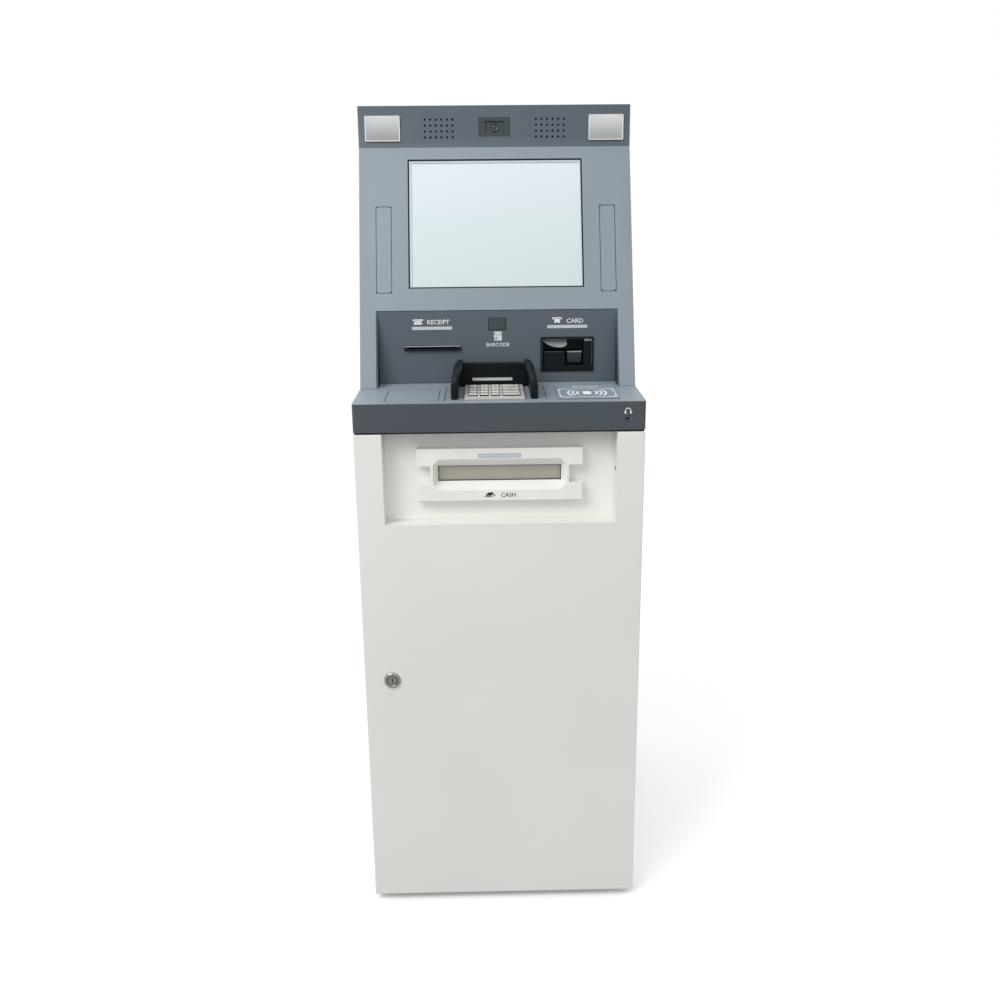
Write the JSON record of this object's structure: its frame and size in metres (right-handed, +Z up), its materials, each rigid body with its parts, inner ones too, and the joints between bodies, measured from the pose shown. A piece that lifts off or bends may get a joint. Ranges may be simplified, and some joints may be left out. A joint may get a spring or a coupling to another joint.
{
  "type": "atm machine",
  "caption": "Free-standing lobby cash machine: white steel cabinet with a safe and cash slot, sloping keypad console and a leaning grey head with a screen.",
  "frame": {"origin": "on the floor, under the middle of the machine's outer box", "axes": "+Z up; the customer stands on the -Y side and faces +Y; +X is to the customer's right"},
  "size_m": [0.47, 0.564, 1.393],
  "materials": {
    "paint_white": "warm white powder coat, satin",
    "paint_grey": "blue-grey paint, satin with a fine texture",
    "paint_dark": "darker blue-grey paint, satin",
    "safe_paint": "dark grey safe paint",
    "zinc_steel": "zinc-plated sheet steel",
    "chrome": "polished nickel-chrome",
    "brushed_steel": "fine brushed stainless steel",
    "shutter_metal": "bead-blasted warm grey metal",
    "black_plastic": "black moulded plastic, satin",
    "grey_plastic": "grey moulded plastic",
    "pale_plastic": "warm white moulded plastic",
    "screen_glass": "pale glossy screen glass over a switched-off panel",
    "mirror": "convex mirror",
    "rubber": "black rubber",
    "paper": "white thermal paper"
  },
  "bodies": {
    "cabinet": {"barcode_scanner": "black_plastic", "cabinet_shell": "paint_white", "camera_module": "black_plastic", "card_bezel": "black_plastic", "card_reader": "grey_plastic", "cassette_1": "grey_plastic", "cassette_2": "grey_plastic", "computer": "black_plastic", "console_shell": "paint_grey", "contactless_pad": "grey_plastic", "dispenser_frame": "zinc_steel", "display_glass": "screen_glass", "door_hinge_rod": "zinc_steel", "foot_front_left": "rubber", "foot_front_right": "rubber", "foot_rear_left": "rubber", "foot_rear_right": "rubber", "head_casing": "paint_grey", "head_fascia": "paint_grey", "headphone_jack": "black_plastic", "key_blank_left": "paint_grey", "key_blank_right": "paint_grey", "keypad_plate": "brushed_steel", "lcd_module": "black_plastic", "mirror_left": "mirror", "mirror_right": "mirror", "note_presenter": "zinc_steel", "privacy_shield": "black_plastic", "receipt_bezel": "grey_plastic", "receipt_printer": "black_plastic", "reject_cassette": "black_plastic", "safe_body": "safe_paint", "service_panel": "paint_dark"},
    "front_door": {"front_door": "paint_white", "door_lock_barrel": "chrome", "cash_panel": "paint_white", "shutter_bezel": "pale_plastic"},
    "door_lock": {"door_lock_plug": "chrome"},
    "shutter": {"shutter_plate": "shutter_metal"},
    "safe_door": {"safe_door": "safe_paint"},
    "safe_handle": {"safe_handle": "chrome"},
    "safe_bolts": {"safe_bolt_bar": "zinc_steel"},
    "rear_door": {"rear_door": "paint_grey"},
    "paper_roll": {"paper_roll": "paper"},
    "key_1": {"key_1": "brushed_steel"},
    "key_2": {"key_2": "brushed_steel"},
    "key_3": {"key_3": "brushed_steel"},
    "key_cancel": {"key_cancel": "brushed_steel"},
    "key_4": {"key_4": "brushed_steel"},
    "key_5": {"key_5": "brushed_steel"},
    "key_6": {"key_6": "brushed_steel"},
    "key_clear": {"key_clear": "brushed_steel"},
    "key_7": {"key_7": "brushed_steel"},
    "key_8": {"key_8": "brushed_steel"},
    "key_9": {"key_9": "brushed_steel"},
    "key_enter": {"key_enter": "brushed_steel"},
    "key_star": {"key_star": "brushed_steel"},
    "key_0": {"key_0": "brushed_steel"},
    "key_hash": {"key_hash": "brushed_steel"},
    "key_blank": {"key_blank": "brushed_steel"}
  },
  "joints": [
    {"name": "front_door_hinge", "type": "hinge", "parent": "cabinet", "child": "front_door", "pos_m": [0.227, -0.268, 0.436], "axis": [0, 0, 1], "range_deg": [0, 108]},
    {"name": "door_lock_turn", "type": "hinge", "parent": "front_door", "child": "door_lock", "pos_m": [-0.188, -0.268, 0.435], "axis": [0, -1, 0], "range_deg": [0, 90]},
    {"name": "shutter_slide", "type": "slide", "parent": "front_door", "child": "shutter", "axis": [0, 0, 1], "range_m": [0, 0.03]},
    {"name": "safe_door_hinge", "type": "hinge", "parent": "cabinet", "child": "safe_door", "pos_m": [0.205, -0.1915, 0.352], "axis": [0, 0, 1], "range_deg": [0, 87]},
    {"name": "safe_handle_turn", "type": "hinge", "parent": "safe_door", "child": "safe_handle", "pos_m": [-0.06, -0.218, 0.35], "axis": [0, -1, 0], "range_deg": [0, 90]},
    {"name": "safe_bolt_slide", "type": "slide", "parent": "safe_door", "child": "safe_bolts", "axis": [-1, 0, 0], "range_m": [0, 0.0181]},
    {"name": "rear_door_hinge", "type": "hinge", "parent": "cabinet", "child": "rear_door", "pos_m": [0.2115, 0.273, 1.13], "axis": [0, 0, -1], "range_deg": [0, 110]},
    {"name": "paper_roll_spin", "type": "hinge", "parent": "cabinet", "child": "paper_roll", "pos_m": [-0.112, -0.004, 0.988], "axis": [1, 0, 0], "continuous": true},
    {"name": "key_1_press", "type": "slide", "parent": "cabinet", "child": "key_1", "axis": [0, 0.1206, -0.9927], "range_m": [0, 0.0015], "stiffness_N_per_m": 400, "springref_m": -0.001},
    {"name": "key_2_press", "type": "slide", "parent": "cabinet", "child": "key_2", "axis": [0, 0.1206, -0.9927], "range_m": [0, 0.0015], "stiffness_N_per_m": 400, "springref_m": -0.001},
    {"name": "key_3_press", "type": "slide", "parent": "cabinet", "child": "key_3", "axis": [0, 0.1206, -0.9927], "range_m": [0, 0.0015], "stiffness_N_per_m": 400, "springref_m": -0.001},
    {"name": "key_cancel_press", "type": "slide", "parent": "cabinet", "child": "key_cancel", "axis": [0, 0.1206, -0.9927], "range_m": [0, 0.0015], "stiffness_N_per_m": 400, "springref_m": -0.001},
    {"name": "key_4_press", "type": "slide", "parent": "cabinet", "child": "key_4", "axis": [0, 0.1206, -0.9927], "range_m": [0, 0.0015], "stiffness_N_per_m": 400, "springref_m": -0.001},
    {"name": "key_5_press", "type": "slide", "parent": "cabinet", "child": "key_5", "axis": [0, 0.1206, -0.9927], "range_m": [0, 0.0015], "stiffness_N_per_m": 400, "springref_m": -0.001},
    {"name": "key_6_press", "type": "slide", "parent": "cabinet", "child": "key_6", "axis": [0, 0.1206, -0.9927], "range_m": [0, 0.0015], "stiffness_N_per_m": 400, "springref_m": -0.001},
    {"name": "key_clear_press", "type": "slide", "parent": "cabinet", "child": "key_clear", "axis": [0, 0.1206, -0.9927], "range_m": [0, 0.0015], "stiffness_N_per_m": 400, "springref_m": -0.001},
    {"name": "key_7_press", "type": "slide", "parent": "cabinet", "child": "key_7", "axis": [0, 0.1206, -0.9927], "range_m": [0, 0.0015], "stiffness_N_per_m": 400, "springref_m": -0.001},
    {"name": "key_8_press", "type": "slide", "parent": "cabinet", "child": "key_8", "axis": [0, 0.1206, -0.9927], "range_m": [0, 0.0015], "stiffness_N_per_m": 400, "springref_m": -0.001},
    {"name": "key_9_press", "type": "slide", "parent": "cabinet", "child": "key_9", "axis": [0, 0.1206, -0.9927], "range_m": [0, 0.0015], "stiffness_N_per_m": 400, "springref_m": -0.001},
    {"name": "key_enter_press", "type": "slide", "parent": "cabinet", "child": "key_enter", "axis": [0, 0.1206, -0.9927], "range_m": [0, 0.0015], "stiffness_N_per_m": 400, "springref_m": -0.001},
    {"name": "key_star_press", "type": "slide", "parent": "cabinet", "child": "key_star", "axis": [0, 0.1206, -0.9927], "range_m": [0, 0.0015], "stiffness_N_per_m": 400, "springref_m": -0.001},
    {"name": "key_0_press", "type": "slide", "parent": "cabinet", "child": "key_0", "axis": [0, 0.1206, -0.9927], "range_m": [0, 0.0015], "stiffness_N_per_m": 400, "springref_m": -0.001},
    {"name": "key_hash_press", "type": "slide", "parent": "cabinet", "child": "key_hash", "axis": [0, 0.1206, -0.9927], "range_m": [0, 0.0015], "stiffness_N_per_m": 400, "springref_m": -0.001},
    {"name": "key_blank_press", "type": "slide", "parent": "cabinet", "child": "key_blank", "axis": [0, 0.1206, -0.9927], "range_m": [0, 0.0015], "stiffness_N_per_m": 400, "springref_m": -0.001}
  ],
  "couplings": [
    {"joint": "safe_door_hinge", "follows": "front_door_hinge", "ratio": 0.8},
    {"joint": "safe_bolt_slide", "follows": "safe_handle_turn", "m_per_rad": 0.011459}
  ]
}
